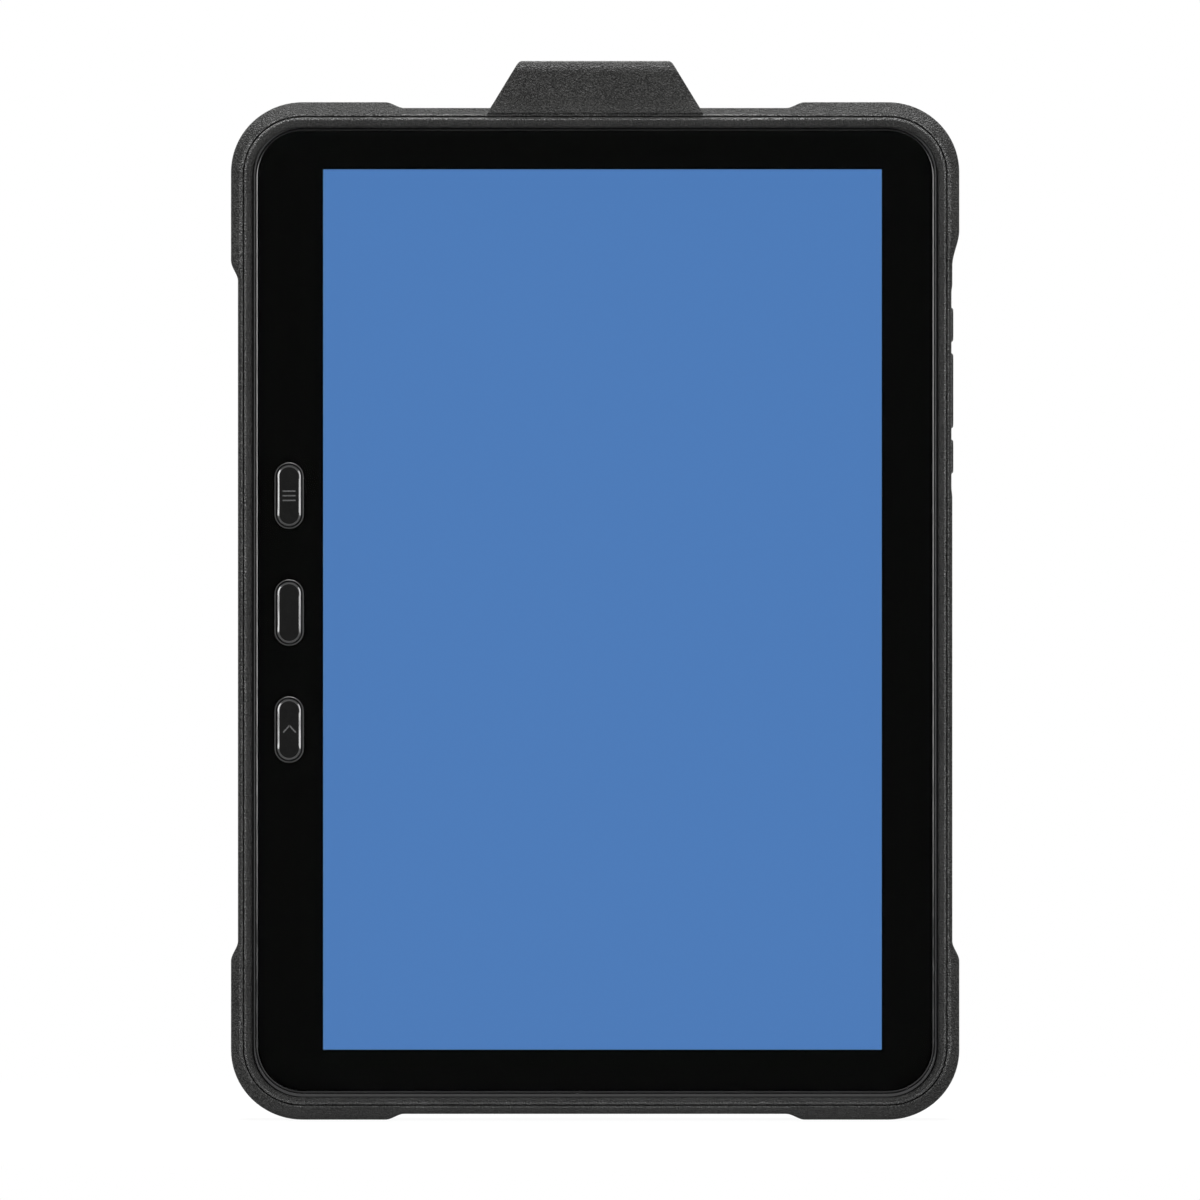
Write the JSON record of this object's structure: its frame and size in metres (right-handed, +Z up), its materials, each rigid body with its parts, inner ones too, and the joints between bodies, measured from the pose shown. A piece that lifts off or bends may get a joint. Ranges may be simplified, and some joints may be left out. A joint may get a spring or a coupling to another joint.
{
  "type": "tablet case",
  "caption": "Rugged black tablet case with corner bumpers, a snap-in front ring, a stylus sleeve on top and a swivelling hand strap on its back, shown with a tablet fitted.",
  "frame": {"origin": "bottom centre of the whole part's box, on the plane of the two lower bumpers' lands", "axes": "+X to the right as one faces the screen, +Y from the screen towards the back, +Z up the length"},
  "size_m": [0.18, 0.0417, 0.2618],
  "materials": {
    "case_soft": "matt black, fine moulded grain",
    "case_stiff": "matt black, spark-eroded grain",
    "ring_stiff": "matt black, fine grain",
    "screw_steel": "bright",
    "washer_plastic": "slippery, natural white",
    "webbing": "woven elastic webbing, black",
    "pad_fabric": "spacer mesh over foam, black",
    "tablet_plastic": "matt black",
    "tablet_gloss": "polished black",
    "clear_glass": "clear, polished",
    "black_print": "black print behind the glass",
    "display": "flat blue picture behind the glass",
    "chassis_metal": "mill finish",
    "trim_metal": "dark polished",
    "key_gloss": "black, satin with a bright chamfer",
    "battery_pouch": "foil pouch",
    "board_green": "circuit board",
    "lens_glass": "coated lens"
  },
  "bodies": {
    "case": {"outer_shell": "case_soft", "back_plate": "case_stiff", "stylus_sleeve": "case_soft", "slip_washer": "washer_plastic"},
    "front_ring": {"front_ring": "ring_stiff"},
    "tablet": {"tablet_rear_cover": "tablet_plastic", "tablet_frame": "tablet_gloss", "cover_glass": "clear_glass", "bezel_mask": "black_print", "display_panel": "display", "tablet_chassis": "chassis_metal", "key_trims": "trim_metal", "battery": "battery_pouch", "main_board": "board_green", "usb_socket": "screw_steel", "audio_socket": "key_gloss", "camera_bezel": "trim_metal", "camera_lens": "lens_glass", "flash_lens": "lens_glass"},
    "recents_key": {"recents_key": "key_gloss"},
    "home_key": {"home_key": "key_gloss"},
    "back_key": {"back_key": "key_gloss"},
    "power_cover": {"power_cover": "case_soft"},
    "volume_cover": {"volume_cover": "case_soft"},
    "shortcut_cover": {"shortcut_cover": "case_soft"},
    "tablet_power_key": {"tablet_power_key": "tablet_plastic"},
    "tablet_volume_key": {"tablet_volume_key": "tablet_plastic"},
    "tablet_shortcut_key": {"tablet_shortcut_key": "tablet_plastic"},
    "hand_strap_swivel": {"swivel_disc": "case_stiff", "swivel_retainer": "ring_stiff", "swivel_screws": "screw_steel", "hand_strap": "webbing", "hand_pad": "pad_fabric", "pull_tabs": "case_soft"}
  },
  "joints": [
    {"name": "tablet_lift_out", "type": "slide", "parent": "case", "child": "tablet", "axis": [0, -1, 0], "range_m": [0, 0.03]},
    {"name": "front_ring_lift_off", "type": "slide", "parent": "case", "child": "front_ring", "axis": [0, -1, 0], "range_m": [0, 0.06]},
    {"name": "recents_key_press", "type": "slide", "parent": "tablet", "child": "recents_key", "axis": [0, 1, 0], "range_m": [0, 0.0004], "stiffness_N_per_m": 2500, "springref_m": -0.0003},
    {"name": "home_key_press", "type": "slide", "parent": "tablet", "child": "home_key", "axis": [0, 1, 0], "range_m": [0, 0.0004], "stiffness_N_per_m": 2500, "springref_m": -0.0003},
    {"name": "back_key_press", "type": "slide", "parent": "tablet", "child": "back_key", "axis": [0, 1, 0], "range_m": [0, 0.0004], "stiffness_N_per_m": 2500, "springref_m": -0.0003},
    {"name": "power_cover_press", "type": "slide", "parent": "case", "child": "power_cover", "axis": [-1, 0, 0], "range_m": [0, 0.0003], "stiffness_N_per_m": 3000, "springref_m": -0.0003},
    {"name": "tablet_power_key_press", "type": "slide", "parent": "tablet", "child": "tablet_power_key", "axis": [-1, 0, 0], "range_m": [0, 0.0003]},
    {"name": "shortcut_cover_press", "type": "slide", "parent": "case", "child": "shortcut_cover", "axis": [-1, 0, 0], "range_m": [0, 0.0003], "stiffness_N_per_m": 3000, "springref_m": -0.0003},
    {"name": "tablet_shortcut_key_press", "type": "slide", "parent": "tablet", "child": "tablet_shortcut_key", "axis": [-1, 0, 0], "range_m": [0, 0.0003]},
    {"name": "volume_cover_rock", "type": "hinge", "parent": "case", "child": "volume_cover", "pos_m": [0.08595, -0.01375, 0.1803], "axis": [0, 1, 0], "range_deg": [-1.5, 1.5], "stiffness_Nm_per_rad": 0.6},
    {"name": "tablet_volume_key_rock", "type": "hinge", "parent": "tablet", "child": "tablet_volume_key", "pos_m": [0.0843, -0.01375, 0.1803], "axis": [0, 1, 0], "range_deg": [-1.5, 1.5]},
    {"name": "strap_swivel", "type": "hinge", "parent": "case", "child": "hand_strap_swivel", "pos_m": [0, -0.00095, 0.1258], "axis": [0, 1, 0], "continuous": true}
  ],
  "couplings": [
    {"joint": "front_ring_lift_off", "follows": "tablet_lift_out", "ratio": 2},
    {"joint": "tablet_power_key_press", "follows": "power_cover_press", "ratio": 1},
    {"joint": "tablet_shortcut_key_press", "follows": "shortcut_cover_press", "ratio": 1},
    {"joint": "tablet_volume_key_rock", "follows": "volume_cover_rock", "ratio": 1}
  ]
}
